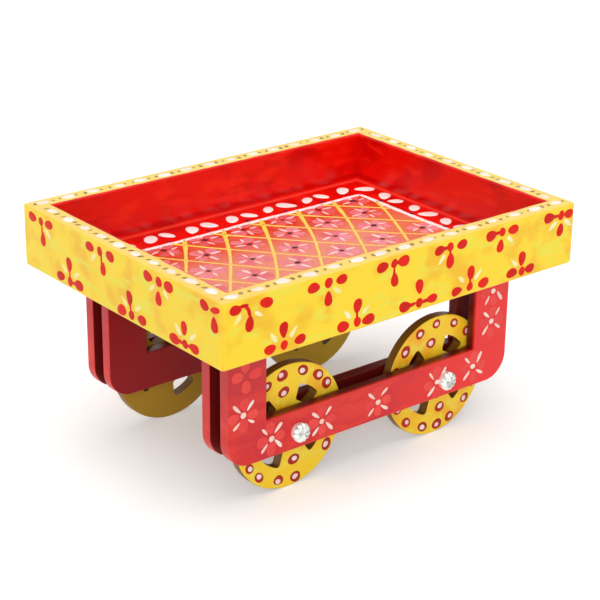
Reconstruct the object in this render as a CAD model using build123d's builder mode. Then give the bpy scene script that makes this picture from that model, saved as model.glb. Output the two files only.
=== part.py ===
"""Painted wooden tray cart: a shallow tray on paired U-shaped leg boards that hold four spoked wheels.

Units are millimetres. +X runs along the tray's length, +Y to the cart's left, +Z up.
The origin is on the ground under the middle of the tray.
"""

import os

from build123d import *

# Tray
tray_length = 203.0
tray_width = 152.0
wall_height = 29.5
wall_thickness = 10.0
floor_thickness = 4.5
tray_corner_round = 2.0
wall_edge_round = 1.0

# Leg boards, each a U with its opening at the top
leg_board = 5.5
leg_end_inset = 18.5
leg_side_inset = 21.5
leg_height = 60.0
upright_width = 21.0
rail_height = 18.5
leg_corner_round = 12.0
leg_edge_round = 0.5

# Wheels, in the slot between the two boards of a pair
wheel_radius = 30.0
wheel_board = 5.0
wheel_side_clearance = 1.25
wheel_spacing = 28.0
wheel_edge_round = 0.6
window_count = 4
window_inner_radius = 12.0
window_outer_radius = 20.0
window_angle = 38.0
window_corner_round = 1.5

# Axle pins, blind in the inner boards
pin_radius = 2.0
pin_clearance = 0.08
pin_above_rail_edge = 8.0
pin_skin = 1.5

# Crystals glued over the pin ends
crystal_radius = 4.6
crystal_sides = 12
crystal_girdle = 1.7
crystal_crown = 2.0
crystal_slope = 42.0

# Heights
axle_z = wheel_radius
leg_bottom_z = axle_z - pin_above_rail_edge
tray_bottom_z = leg_bottom_z + leg_height

# Plan positions
inner_length = tray_length - 2 * wall_thickness
inner_width = tray_width - 2 * wall_thickness
leg_length = tray_length - 2 * leg_end_inset
leg_opening = leg_length - 2 * upright_width
wheel_slot = wheel_board + 2 * wheel_side_clearance
leg_face_y = tray_width / 2 - leg_side_inset
wheel_y = leg_face_y - leg_board - wheel_slot / 2
board_offset = (wheel_slot + leg_board) / 2
axle_x = wheel_radius + wheel_spacing / 2
pin_seat = leg_board - pin_skin

# Name and sign of Y of each side
sides = (("right", -1), ("left", 1))
# Name and sign of X of each end
ends = (("front", 1), ("rear", -1))
# Name of each board of a pair, and its side of the wheel slot: 1 outward, -1 inward
boards = (("outer", 1), ("inner", -1))
# Angle of a window of each wheel at rest, in degrees from the front towards up
wheel_turns = {"front_right": 55.0, "rear_right": 55.0, "front_left": 40.0, "rear_left": 24.0}

os.makedirs("parts", exist_ok=True)


def upright_plane(y):
    """Plane across the cart's width at y, with its own X along the cart and its own Y up."""
    return Plane.XZ.offset(-y)


# Tray floor panel, let in between the walls, flush with their lower edges
with BuildPart() as tray_floor:
    with BuildSketch(Plane.XY.offset(tray_bottom_z)):
        Rectangle(inner_length, inner_width)
    extrude(amount=floor_thickness)
tray_floor.part.label = "tray_floor"
export_step(tray_floor.part, "parts/tray_floor.step")

# Tray frame with eased rim and lower edge, before it is parted into its four boards
with BuildPart() as tray_frame:
    with BuildSketch(Plane.XY.offset(tray_bottom_z)):
        RectangleRounded(tray_length, tray_width, tray_corner_round)
        Rectangle(inner_length, inner_width, mode=Mode.SUBTRACT)
    extrude(amount=wall_height)
    fillet(tray_frame.faces().sort_by(Axis.Z)[-1].edges(), wall_edge_round)
    fillet(tray_frame.faces().sort_by(Axis.Z)[0].outer_wire().edges(), wall_edge_round)

# Side walls run the tray's full length
for side, sign in sides:
    with BuildPart() as side_wall:
        add(tray_frame.part)
        split(bisect_by=Plane((0, sign * inner_width / 2, 0), z_dir=(0, sign, 0)), keep=Keep.TOP)
    side_wall.part.label = f"{side}_wall"
    export_step(side_wall.part, f"parts/{side}_wall.step")

# End walls butt between the side walls
for end, sign in ends:
    with BuildPart() as end_wall:
        add(tray_frame.part)
        split(bisect_by=Plane((sign * inner_length / 2, 0, 0), z_dir=(sign, 0, 0)), keep=Keep.TOP)
        for _, side_sign in sides:
            side_joint = Plane((0, side_sign * inner_width / 2, 0), z_dir=(0, side_sign, 0))
            split(bisect_by=side_joint, keep=Keep.BOTTOM)
    end_wall.part.label = f"{end}_wall"
    export_step(end_wall.part, f"parts/{end}_wall.step")

# Leg boards, two to a side
for side, sign in sides:
    for layer, outward in boards:
        board_y = sign * (wheel_y + outward * board_offset)
        seat_y = board_y - sign * outward * leg_board / 2
        with BuildPart() as leg:
            with BuildSketch(upright_plane(board_y)) as outline:
                with Locations((0, leg_bottom_z)):
                    Rectangle(leg_length, leg_height, align=(Align.CENTER, Align.MIN))
                fillet(outline.vertices().group_by(Axis.Y)[0], leg_corner_round)
                with Locations((0, leg_bottom_z + rail_height)):
                    Rectangle(
                        leg_opening,
                        leg_height - rail_height,
                        align=(Align.CENTER, Align.MIN),
                        mode=Mode.SUBTRACT,
                    )
            extrude(amount=leg_board / 2, both=True)
            face_edges = leg.faces().filter_by(Axis.Y).edges()
            fillet(
                face_edges.filter_by_position(Axis.Z, leg_bottom_z, tray_bottom_z, inclusive=(True, False)),
                leg_edge_round,
            )
            with BuildSketch(upright_plane(seat_y)):
                with Locations((axle_x, axle_z), (-axle_x, axle_z)):
                    Circle(pin_radius)
            hole_depth = leg_board if layer == "outer" else pin_seat
            extrude(amount=hole_depth, dir=(0, sign * outward, 0), mode=Mode.SUBTRACT)
        leg.part.label = f"{side}_{layer}_leg"
        export_step(leg.part, f"parts/{side}_{layer}_leg.step")

# Fan-shaped window between two spokes, about the wheel's centre
with BuildSketch() as window:
    with BuildLine() as window_outline:
        outer_arc = CenterArc((0, 0), window_outer_radius, -window_angle / 2, window_angle)
        inner_arc = CenterArc((0, 0), window_inner_radius, -window_angle / 2, window_angle)
        Line(outer_arc @ 0, inner_arc @ 0)
        Line(outer_arc @ 1, inner_arc @ 1)
    make_face()
    fillet(window.vertices(), window_corner_round)

# Wheels, pins and crystals
for side, sign in sides:
    for end, end_sign in ends:
        axle_place = (end_sign * axle_x, axle_z)
        place_name = f"{end}_{side}"

        with BuildPart() as wheel:
            with BuildSketch(upright_plane(sign * wheel_y)):
                with Locations(axle_place):
                    Circle(wheel_radius)
                    Circle(pin_radius + pin_clearance, mode=Mode.SUBTRACT)
                    with PolarLocations(0, window_count, start_angle=wheel_turns[place_name]):
                        add(window.sketch, mode=Mode.SUBTRACT)
            extrude(amount=wheel_board / 2, both=True)
            rim_edges = wheel.edges().filter_by(GeomType.CIRCLE).group_by(SortBy.RADIUS)[-1]
            fillet(rim_edges, wheel_edge_round)
        wheel.part.label = f"{place_name}_wheel"
        export_step(wheel.part, f"parts/{place_name}_wheel.step")

        with BuildPart() as pin:
            with BuildSketch(upright_plane(sign * leg_face_y)):
                with Locations(axle_place):
                    Circle(pin_radius)
            extrude(amount=leg_board + wheel_slot + pin_seat, dir=(0, -sign, 0))
        pin.part.label = f"{place_name}_pin"
        export_step(pin.part, f"parts/{place_name}_pin.step")

        with BuildPart() as crystal:
            with BuildSketch(upright_plane(sign * leg_face_y)):
                with Locations(axle_place):
                    RegularPolygon(crystal_radius, crystal_sides)
            extrude(amount=crystal_girdle, dir=(0, sign, 0))
            girdle_top = crystal.faces().sort_by(Axis.Y)[-1 if sign > 0 else 0]
            extrude(girdle_top, amount=crystal_crown, taper=crystal_slope)
        crystal.part.label = f"{place_name}_crystal"
        export_step(crystal.part, f"parts/{place_name}_crystal.step")
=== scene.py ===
"""Looks of a hand-painted wooden tray cart: brushed coats, painted motifs, faceted stones and a white studio.

Everything is in metres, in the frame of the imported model. Sizes of the painted work are written in
millimetres and turned into metres where a mesh is made.
"""

import logging
import math
import random
from dataclasses import dataclass, field
from enum import Enum

import bmesh
import bpy
from mathutils import Matrix, Vector


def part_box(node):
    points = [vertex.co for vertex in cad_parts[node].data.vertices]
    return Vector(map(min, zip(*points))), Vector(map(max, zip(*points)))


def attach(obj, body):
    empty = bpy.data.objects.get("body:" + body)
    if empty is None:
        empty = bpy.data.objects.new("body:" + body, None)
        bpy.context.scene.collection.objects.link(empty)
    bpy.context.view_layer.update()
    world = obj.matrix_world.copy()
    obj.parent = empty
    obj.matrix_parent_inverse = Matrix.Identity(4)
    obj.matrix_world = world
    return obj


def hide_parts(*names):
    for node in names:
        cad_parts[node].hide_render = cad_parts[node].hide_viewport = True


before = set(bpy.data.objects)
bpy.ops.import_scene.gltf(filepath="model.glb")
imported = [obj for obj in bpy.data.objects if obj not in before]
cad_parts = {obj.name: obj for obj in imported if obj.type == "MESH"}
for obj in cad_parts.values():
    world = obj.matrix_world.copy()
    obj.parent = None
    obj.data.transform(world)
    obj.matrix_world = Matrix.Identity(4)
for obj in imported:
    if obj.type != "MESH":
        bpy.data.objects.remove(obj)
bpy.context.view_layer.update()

LOG = logging.getLogger("tray_cart")
MM = 0.001
CART_BODY = "cart"
WALLS = ("right_wall", "left_wall", "rear_wall", "front_wall")
FORWARD = Vector((1, 0, 0))
LEFTWARD = Vector((0, 1, 0))
UPWARD = Vector((0, 0, 1))

Colour = tuple[float, float, float, float]
Triple = tuple[float, float, float]
Range = tuple[float, float]
Place = tuple[float, float]
Socket = bpy.types.NodeSocket

QUARTER_TURNS = (0.0, 90.0, 180.0, 270.0)


def screen(red: int, green: int, blue: int) -> Colour:
    """Shader colour of a paint.

    Args:
        red: Red screen value, from 0 to 255.
        green: Green screen value.
        blue: Blue screen value.

    Returns:
        The linear colour.
    """

    def linear(value: int) -> float:
        """Linear share of one screen value, by the usual screen curve."""
        share = value / 255
        return share / 12.92 if share <= 0.04045 else ((share + 0.055) / 1.055) ** 2.4

    return (linear(red), linear(green), linear(blue), 1.0)


def around(centre: Place, reach: float, turn: float) -> Place:
    """Spot at a reach from a centre, at degrees from the panel's right towards up."""
    way = math.radians(turn)
    return (centre[0] + reach * math.cos(way), centre[1] + reach * math.sin(way))


def put_in_scene(name: str, data: bpy.types.ID) -> bpy.types.Object:
    """Make an object of a mesh, a light or a camera.

    Args:
        name: The object's name.
        data: What it shows.

    Returns:
        The new object.
    """
    thing = bpy.data.objects.new(name, data)
    bpy.context.scene.collection.objects.link(thing)
    return thing


class Labelled(Enum):
    """A choice that stands in the nodes' names."""

    @property
    def label(self) -> str:
        """Name of the choice in the nodes' names."""
        return self.name.lower()


class Side(Labelled):
    """Sides of the cart, with the sign of Y on each."""

    RIGHT = -1
    LEFT = 1


class End(Labelled):
    """Ends of the cart, with the sign of X at each."""

    FRONT = 1
    REAR = -1


class Row(Enum):
    """Rows of sprays on a wall, with the way that their tips point."""

    HANGING = -1
    RISING = 1


class Heart(Enum):
    """How the middle of a wall spray is painted."""

    ROUND = "round"
    DASH = "dash"
    CURL = "curl"


class NodeGraph:
    """A tree of shader nodes, with short calls for its numbers."""

    def __init__(self, tree: bpy.types.NodeTree) -> None:
        """Take over a material's or the world's tree."""
        self.nodes, self.links = tree.nodes, tree.links

    def put(self, value: "float | Colour | Socket", target: Socket) -> None:
        """Set a socket to a constant, or link it to another node's output.

        Args:
            value: The constant or the output.
            target: The socket.
        """
        if isinstance(value, bpy.types.NodeSocket):
            self.links.new(value, target)
        else:
            target.default_value = value

    def add(
        self,
        kind: str,
        inputs: "dict[str | int, float | Colour | Socket]",
        **settings: str,
    ) -> bpy.types.Node:
        """Add a node.

        Args:
            kind: The node's type, without the prefix that all have.
            inputs: Constants or outputs by the input's name or number.
            settings: The node's own settings by name.

        Returns:
            The node.
        """
        node = self.nodes.new(f"ShaderNode{kind}")
        for name, value in settings.items():
            setattr(node, name, value)
        for name, value in inputs.items():
            self.put(value, node.inputs[name])
        return node

    def number(self, operation: str, first: "float | Socket", second: "float | Socket" = 0.0) -> Socket:
        """Result of one arithmetic step."""
        return self.add("Math", {0: first, 1: second}, operation=operation).outputs[0]

    def times(self, first: "float | Socket", second: "float | Socket") -> Socket:
        """Product of two values."""
        return self.number("MULTIPLY", first, second)

    def minus(self, first: "float | Socket", second: "float | Socket") -> Socket:
        """The first value less the second."""
        return self.number("SUBTRACT", first, second)

    def unsigned(self, value: Socket) -> Socket:
        """A value without its sign."""
        return self.number("ABSOLUTE", value)

    def fade(self, value: Socket, limits: Range) -> Socket:
        """Smooth step of a value, from 0 at the first limit to 1 at the second."""
        inputs = {"Value": value, "From Min": limits[0], "From Max": limits[1]}
        return self.add("MapRange", inputs, interpolation_type="SMOOTHSTEP").outputs["Result"]

    def span(self, value: Socket, limits: Range) -> Socket:
        """A value from 0 to 1 spread from the first limit to the second."""
        inputs = {"Value": value, "To Min": limits[0], "To Max": limits[1]}
        return self.add("MapRange", inputs).outputs["Result"]


class ShaderGraph(NodeGraph):
    """A material's node tree, with short calls for what the finishes share."""

    SHEEN = 0.35
    RUBBED_EDGES = (0.02, 0.2)
    RUBBED_PATCHES = 160.0

    def __init__(self, name: str) -> None:
        """Start a material with one surface shader.

        Args:
            name: The material's name.
        """
        self.material = bpy.data.materials.new(name)
        self.material.use_nodes = True
        super().__init__(self.material.node_tree)
        self.surface = self.nodes["Principled BSDF"]
        self.surface.inputs["Specular IOR Level"].default_value = self.SHEEN
        self.place = self.add("TexCoord", {}).outputs["Object"]

    def shine(self, **values: "float | Colour | Socket") -> None:
        """Set inputs of the surface shader.

        Args:
            values: Values or outputs by the input's name, with underscores for spaces.
        """
        for name, value in values.items():
            self.put(value, self.surface.inputs[name.replace("_", " ").title().replace("Ior", "IOR")])

    def noise(self, per_metre: "float | Triple", detail: float = 3.0) -> Socket:
        """Cloudy value about 0.5.

        Args:
            per_metre: How often it changes in a metre, each way or along X, Y and Z.
            detail: How many finer octaves it has.

        Returns:
            The value's output.
        """
        rates = per_metre if isinstance(per_metre, tuple) else (per_metre,) * 3
        scaled = self.add("Mapping", {"Vector": self.place, "Scale": rates}).outputs["Vector"]
        return self.add("TexNoise", {"Vector": scaled, "Scale": 1.0, "Detail": detail}).outputs["Fac"]

    def blend(self, share: Socket, first: "Colour | Socket", second: "Colour | Socket") -> Socket:
        """Colour between two, by a share of the second."""
        return self.add("Mix", {0: share, 6: first, 7: second}, data_type="RGBA").outputs[2]

    def between(self, share: Socket, first: Socket, second: Socket) -> Socket:
        """Number between two, by a share of the second."""
        return self.add("Mix", {0: share, 2: first, 3: second}).outputs[0]

    def parts(self, vector: Socket) -> "list[Socket]":
        """The X, Y and Z outputs of a vector."""
        return list(self.add("SeparateXYZ", {"Vector": vector}).outputs)

    def normal(self) -> "list[Socket]":
        """How far the surface faces along X, Y and Z."""
        return self.parts(self.add("NewGeometry", {}).outputs["Normal"])

    def rubbed_edges(self) -> Socket:
        """Share of the paint that is rubbed off, in patches along the eased edges between flat faces.

        Returns:
            The share's output.
        """
        along, across, up = (self.unsigned(part) for part in self.normal())
        squarest = self.number("MAXIMUM", self.number("MAXIMUM", along, across), up)
        eased = self.minus(1.0, squarest)
        return self.times(self.fade(eased, self.RUBBED_EDGES), self.noise(self.RUBBED_PATCHES))

    def tone(self, name: str) -> Socket:
        """Value that a mesh carries at its points or faces."""
        return self.add("Attribute", {}, attribute_name=name).outputs["Fac"]

    def relief(self, height: Socket, depth: float) -> None:
        """Raise the surface by a value from 0 to 1, by a depth in metres at 1."""
        bump = self.add("Bump", {"Height": height, "Distance": depth})
        self.shine(normal=bump.outputs["Normal"])


@dataclass(frozen=True)
class Coat:
    """One brushed coat of paint, whose strokes drift between a deep and a light tone."""

    main: Colour
    deep: Colour
    light: Colour
    strokes: Triple
    clouds: float = 45.0
    gloss: Range = (0.30, 0.45)
    gloss_clouds: float = 220.0
    deep_clouds: Range = (0.45, 0.66)
    deep_most: float = 0.85
    light_strokes: Range = (0.50, 0.66)
    light_most: float = 0.8
    bristles_per_stroke: float = 5.0
    ridge: float = 0.04 * MM

    def colour(self, graph: ShaderGraph) -> Socket:
        """Brushed colour of the coat.

        Args:
            graph: The material that the coat is part of.

        Returns:
            The colour's output.
        """
        cloud = graph.noise(self.clouds, detail=2.0)
        stroke = graph.noise(self.strokes, detail=4.0)
        deep_share = graph.times(graph.fade(cloud, self.deep_clouds), self.deep_most)
        light_share = graph.times(graph.fade(stroke, self.light_strokes), self.light_most)
        drifted = graph.blend(deep_share, self.main, self.deep)
        return graph.blend(light_share, drifted, self.light)

    def roughness(self, graph: ShaderGraph) -> Socket:
        """Uneven gloss of the coat."""
        return graph.span(graph.noise(self.gloss_clouds), self.gloss)

    def bristles(self, graph: ShaderGraph) -> None:
        """Raise the fine ridges that the bristles leave along the strokes."""
        rates = tuple(self.bristles_per_stroke * rate for rate in self.strokes)
        graph.relief(graph.noise(rates), self.ridge)


class Finish:
    """What a piece is painted with or made of."""

    def paint(self, graph: ShaderGraph) -> None:
        """Set up a material's graph, which each kind of finish does in its own way."""
        raise NotImplementedError

    def material(self, name: str) -> bpy.types.Material:
        """Material of the finish.

        Args:
            name: The material's name.

        Returns:
            The material.
        """
        graph = ShaderGraph(name)
        self.paint(graph)
        return graph.material


@dataclass(frozen=True)
class LegFinish(Finish):
    """A coat on the leg boards, worn on their eased edges, with painted light towards the front and painted
    shade high at the rear and behind the outer faces.
    """

    coat: Coat
    # Painted light towards the front of each leg, and painted shade under the tray high on the rear uprights
    bright: Colour
    dull: Colour
    worn: Colour
    # Painted shade behind the outer faces, deepest in the slot between the boards
    inner: Colour
    slot: Colour
    outer_face: float
    inner_face: float
    # Where the painted light towards the front and the painted shade under the tray spread, and how strong
    # each is
    fresh_run: Range = (-20.0 * MM, 75.0 * MM)
    fresh_most: float = 0.8
    dull_run: Range = (-50.0 * MM, -75.0 * MM)
    dull_rise: Range = (44.0 * MM, 66.0 * MM)
    dull_most: float = 0.8
    end_facing: Range = (0.1, 0.5)
    # How far behind the outer face the painted shade sets in
    shelter: Range = (0.3 * MM, 2.5 * MM)
    slot_start: float = 1.0 * MM
    slot_full: float = 2.0 * MM

    def brushed(self, graph: ShaderGraph) -> Socket:
        """Colour of the coat, lightened towards the front as painted light and darkened high on the rear
        uprights as painted shade of the tray.

        Args:
            graph: The material that the coat is part of.

        Returns:
            The colour's output.
        """
        along, _, up = graph.parts(graph.place)
        # Painted light towards the front, and painted shade under the tray high at the rear
        front_light = graph.times(graph.fade(along, self.fresh_run), self.fresh_most)
        rear = graph.fade(along, self.dull_run)
        high = graph.times(graph.fade(up, self.dull_rise), self.dull_most)
        colour = graph.blend(front_light, self.coat.colour(graph), self.bright)
        return graph.blend(graph.times(rear, high), colour, self.dull)

    def sheltered_share(self, graph: ShaderGraph) -> Socket:
        """Share of the painted shade: 1 behind the outer faces and 0 on them and on the boards' outward ends.

        Args:
            graph: The material that the coat is part of.

        Returns:
            The share's output.
        """
        along, across, _ = graph.parts(graph.place)
        depth = graph.minus(self.outer_face, graph.unsigned(across))
        outward = graph.times(graph.normal()[0], graph.number("SIGN", along))
        turned_away = graph.minus(1.0, graph.fade(outward, self.end_facing))
        return graph.times(graph.fade(depth, self.shelter), turned_away)

    def paint(self, graph: ShaderGraph) -> None:
        """Paint the leg boards.

        Args:
            graph: The new material's graph.
        """
        painted = graph.blend(graph.rubbed_edges(), self.brushed(graph), self.worn)
        across = graph.unsigned(graph.parts(graph.place)[1])
        slot_limits = (self.inner_face + self.slot_start, self.inner_face + self.slot_full)
        # Painted shade: darker behind the outer faces and darkest in the slot between the boards
        painted_shade = graph.blend(graph.fade(across, slot_limits), self.inner, self.slot)
        graph.shine(
            base_color=graph.blend(self.sheltered_share(graph), painted, painted_shade),
            roughness=self.coat.roughness(graph),
        )
        self.coat.bristles(graph)


@dataclass(frozen=True)
class FloorFinish(Finish):
    """The floor's coat, with a coral wash in its frame, a lighter bead at the walls that is partly painted
    highlight, and a bare underside.
    """

    coat: Coat
    ember: Colour
    wash: Colour
    # Lighter bead at the walls, partly painted highlight
    bead: Colour
    bare: Colour
    half: Place
    wash_half: Place
    wash_edge: Range = (0.0, 2.0 * MM)
    wash_run: Range = (44.0 * MM, 2.0 * MM)
    blotches: float = 130.0
    blotch_clouds: Range = (0.36, 0.64)
    blotch_most: float = 0.5
    # Width and strength of the lighter bead at the walls, partly painted highlight
    bead_width: float = 2.4 * MM
    bead_most: float = 0.85
    fibres: Triple = (60.0, 900.0, 900.0)
    fibre_sway: Range = (-0.25, 0.25)
    underside: Range = (-0.3, -0.9)
    bare_roughness: float = 0.7

    @staticmethod
    def inset(graph: ShaderGraph, half: Place) -> Socket:
        """Distance inwards from the nearest side of a rectangle about the middle.

        Args:
            graph: The material that asks.
            half: Half of the rectangle's length and width in metres.

        Returns:
            The distance's output.
        """
        along, across, _ = graph.parts(graph.place)
        sides = [graph.minus(limit, graph.unsigned(value)) for value, limit in zip((along, across), half)]
        return graph.number("MINIMUM", *sides)

    def paint(self, graph: ShaderGraph) -> None:
        """Paint the floor.

        Args:
            graph: The new material's graph.
        """
        inside = graph.fade(self.inset(graph, self.wash_half), self.wash_edge)
        blotch = graph.times(graph.fade(graph.noise(self.blotches), self.blotch_clouds), self.blotch_most)
        spread = graph.fade(graph.parts(graph.place)[1], self.wash_run)
        washed = graph.times(inside, graph.number("MAXIMUM", spread, blotch))
        # Lighter bead along the walls, partly painted highlight
        edge = graph.fade(self.inset(graph, self.half), (self.bead_width, 0.0))
        colour = graph.blend(inside, self.coat.colour(graph), self.ember)
        colour = graph.blend(washed, colour, self.wash)
        colour = graph.blend(graph.times(edge, self.bead_most), colour, self.bead)
        fibre = graph.span(graph.noise(self.fibres, detail=4.0), self.fibre_sway)
        below = graph.fade(graph.number("ADD", graph.normal()[2], fibre), self.underside)
        bare_roughness = graph.times(below, self.bare_roughness)
        graph.shine(
            base_color=graph.blend(below, colour, self.bare),
            roughness=graph.number("MAXIMUM", self.coat.roughness(graph), bare_roughness),
        )
        self.coat.bristles(graph)


@dataclass(frozen=True)
class TrayFinish(Finish):
    """Two coats on the tray's walls, cut in by hand: one outside and over the rim, and one inside.

    The inner one has a lighter bead along the floor, partly painted highlight, and a band of painted shade
    above it. Tops that face up are paled as painted light.
    """

    outside: Coat
    inside: Coat
    # Paler tone for tops that face up: painted light from above
    rim: Colour
    worn: Colour
    # Lighter bead along the floor, partly painted highlight
    bead: Colour
    half_length: float
    half_width: float
    floor_top: float
    # Width and strength of the lighter bead, partly painted highlight
    bead_width: float = 1.3 * MM
    bead_most: float = 0.85
    # A band of painted shade at the foot of the inner walls, in the inner coat's deep tone
    stripe_height: float = 3.0 * MM
    stripe_half: float = 2.4 * MM
    cut_in: float = 1.0 * MM
    cut_blur: float = 0.1 * MM
    wander: float = 0.8 * MM
    wanderings: float = 90.0
    # How far up a face must look to take the paler top tone, and how much it takes, as painted light
    rim_facing: Range = (0.5, 0.95)
    rim_most: float = 0.7

    def inner_share(self, graph: ShaderGraph) -> Socket:
        """1 where the inner coat shows and 0 where the outer one does.

        Args:
            graph: The material that the coats are part of.

        Returns:
            The share's output.
        """
        wobble = graph.span(graph.noise(self.wanderings, detail=1.0), (-self.wander, self.wander))
        along, across, _ = graph.parts(graph.place)
        reach = []
        for value, half in ((along, self.half_length), (across, self.half_width)):
            distance = graph.number("ADD", graph.unsigned(value), wobble)
            reach.append(graph.minus(distance, half + self.cut_in))
        return graph.fade(graph.number("MAXIMUM", *reach), (self.cut_blur, -self.cut_blur))

    def inner_colour(self, graph: ShaderGraph) -> Socket:
        """Colour of the inner coat, with a band of painted shade near the floor and the lighter bead, partly
        painted highlight, at its foot.

        Args:
            graph: The material that the coats are part of.

        Returns:
            The colour's output.
        """
        rise = graph.minus(graph.parts(graph.place)[2], self.floor_top)
        # Painted shade: a band of the deep tone just above the floor
        off_shade_band = graph.unsigned(graph.minus(rise, self.stripe_height))
        shade_band = graph.fade(off_shade_band, (self.stripe_half, 0.0))
        with_shade_band = graph.blend(shade_band, self.inside.colour(graph), self.inside.deep)
        # Lighter bead at the foot, partly painted highlight
        foot = graph.times(graph.fade(rise, (self.bead_width, 0.0)), self.bead_most)
        return graph.blend(foot, with_shade_band, self.bead)

    def paint(self, graph: ShaderGraph) -> None:
        """Paint the walls.

        Args:
            graph: The new material's graph.
        """
        inner = self.inner_share(graph)
        # Painted light: tops that face up are paled towards the rim tone
        upward = graph.times(graph.fade(graph.normal()[2], self.rim_facing), self.rim_most)
        outer_colour = graph.blend(graph.rubbed_edges(), self.outside.colour(graph), self.worn)
        outer_colour = graph.blend(upward, outer_colour, self.rim)
        graph.shine(
            base_color=graph.blend(inner, outer_colour, self.inner_colour(graph)),
            roughness=graph.between(inner, self.outside.roughness(graph), self.inside.roughness(graph)),
        )
        self.outside.bristles(graph)


@dataclass(frozen=True)
class WheelFinish(Finish):
    """A coat on the wheels' outer faces, thin on the inner ones, and dark brown on the sawn edges and in the
    windows, partly soaked into the end grain and partly painted shade.
    """

    face: Coat
    thin: Colour
    # Dark sawn edges and window faces: partly paint soaked into end grain, partly painted shade
    sawn: Colour
    grain: Triple = (90.0, 700.0, 90.0)
    grain_sway: Range = (-0.25, 0.25)
    flat_facing: Range = (0.35, 0.8)
    inward_facing: Range = (-0.3, -0.8)

    def paint(self, graph: ShaderGraph) -> None:
        """Paint a wheel.

        Args:
            graph: The new material's graph.
        """
        across = graph.normal()[1]
        grain = graph.span(graph.noise(self.grain, detail=4.0), self.grain_sway)
        flat = graph.number("ADD", graph.unsigned(across), grain)
        # Dark on the sawn edges and in the windows, partly painted shade
        sawn_share = graph.minus(1.0, graph.fade(flat, self.flat_facing))
        outward = graph.times(across, graph.number("SIGN", graph.parts(graph.place)[1]))
        faces = graph.blend(graph.fade(outward, self.inward_facing), self.face.colour(graph), self.thin)
        graph.shine(
            base_color=graph.blend(sawn_share, faces, self.sawn),
            roughness=self.face.roughness(graph),
        )
        self.face.bristles(graph)


@dataclass(frozen=True)
class DabFinish(Finish):
    """Thick artist's paint, whose dabs lie between a full and a thin tone."""

    full: Colour
    thin: Colour
    roughness: float = 0.38
    sheen: float = 0.15
    streaks: float = 700.0
    streak_sway: Range = (-0.45, 0.45)
    ridge: float = 0.05 * MM

    def paint(self, graph: ShaderGraph) -> None:
        """Paint the dabs.

        Args:
            graph: The new material's graph.
        """
        streak = graph.noise(self.streaks)
        share = graph.number("ADD", graph.tone(PaintLayer.TONE), graph.span(streak, self.streak_sway))
        graph.shine(
            base_color=graph.blend(share, self.full, self.thin),
            roughness=self.roughness,
            specular_ior_level=self.sheen,
        )
        graph.relief(streak, self.ridge)


@dataclass(frozen=True)
class StoneFinish(Finish):
    """Foil-backed cut glass, whose facets carry painted reflections of white, grey or the red around them."""

    bright: Colour
    shade: Colour
    warm: Colour
    shade_tones: Range = (0.55, 0.95)
    warm_tones: Range = (0.2, 0.0)
    foil: float = 0.2
    roughness: float = 0.08
    polish_roughness: float = 0.03

    def paint(self, graph: ShaderGraph) -> None:
        """Set up the glass.

        Args:
            graph: The new material's graph.
        """
        tone = graph.tone(Stone.TONE)
        # Painted reflections: each facet's tone picks white, grey or reflected red
        shaded = graph.blend(graph.fade(tone, self.shade_tones), self.bright, self.shade)
        graph.shine(
            base_color=graph.blend(graph.fade(tone, self.warm_tones), shaded, self.warm),
            metallic=self.foil,
            roughness=self.roughness,
            coat_weight=1.0,
            coat_roughness=self.polish_roughness,
        )


@dataclass(frozen=True)
class WoodFinish(Finish):
    """Bare turned wood with its grain along Y."""

    pale: Colour
    grain: Colour
    fibres: Triple = (1800.0, 90.0, 1800.0)
    grain_fibres: Range = (0.4, 0.65)
    roughness: Range = (0.55, 0.75)
    ridge: float = 0.05 * MM

    def paint(self, graph: ShaderGraph) -> None:
        """Set up the wood.

        Args:
            graph: The new material's graph.
        """
        fibre = graph.noise(self.fibres, detail=4.0)
        graph.shine(
            base_color=graph.blend(graph.fade(fibre, self.grain_fibres), self.pale, self.grain),
            roughness=graph.span(fibre, self.roughness),
        )
        graph.relief(fibre, self.ridge)


@dataclass(frozen=True)
class Panel:
    """A flat painted panel, seen from its painted side: its origin, and the ways to its right and up."""

    origin: Vector
    along: Vector
    up: Vector

    def at(self, place: Place, height: float) -> Vector:
        """Point over the panel.

        Args:
            place: Millimetres to the right and up from the origin.
            height: Millimetres off the panel.

        Returns:
            The point in metres.
        """
        off = self.along.cross(self.up)
        return self.origin + MM * (place[0] * self.along + place[1] * self.up + height * off)


@dataclass(frozen=True)
class Dab:
    """Shape of one dab in millimetres: an oval that is wider towards its end where taper is over 0.

    Its drift says how far its middle, angle and size may stray, as a share of its size.
    """

    length: float
    width: float
    taper: float = 0.0
    height: float = 0.16
    drift: float = 0.12

    POINTS = 18

    def outline(self, phases: "list[float]", wobbles: "list[float]") -> "list[Place]":
        """Points round the dab, about its middle, its length along the first direction.

        Args:
            phases: Where the brush's double and triple unevenness start.
            wobbles: Their sizes, as shares of the dab's own.

        Returns:
            The points, anticlockwise.
        """
        points = []
        for step in range(self.POINTS):
            turn = math.tau * step / self.POINTS
            double, triple = (math.sin(n * turn + phase) for n, phase in zip((2, 3), phases))
            rough = 1 + wobbles[0] * double + wobbles[1] * triple
            breadth = math.sin(turn) * (1 + self.taper * math.cos(turn))
            points.append((rough * self.length / 2 * math.cos(turn), rough * self.width / 2 * breadth))
        return points


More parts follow.
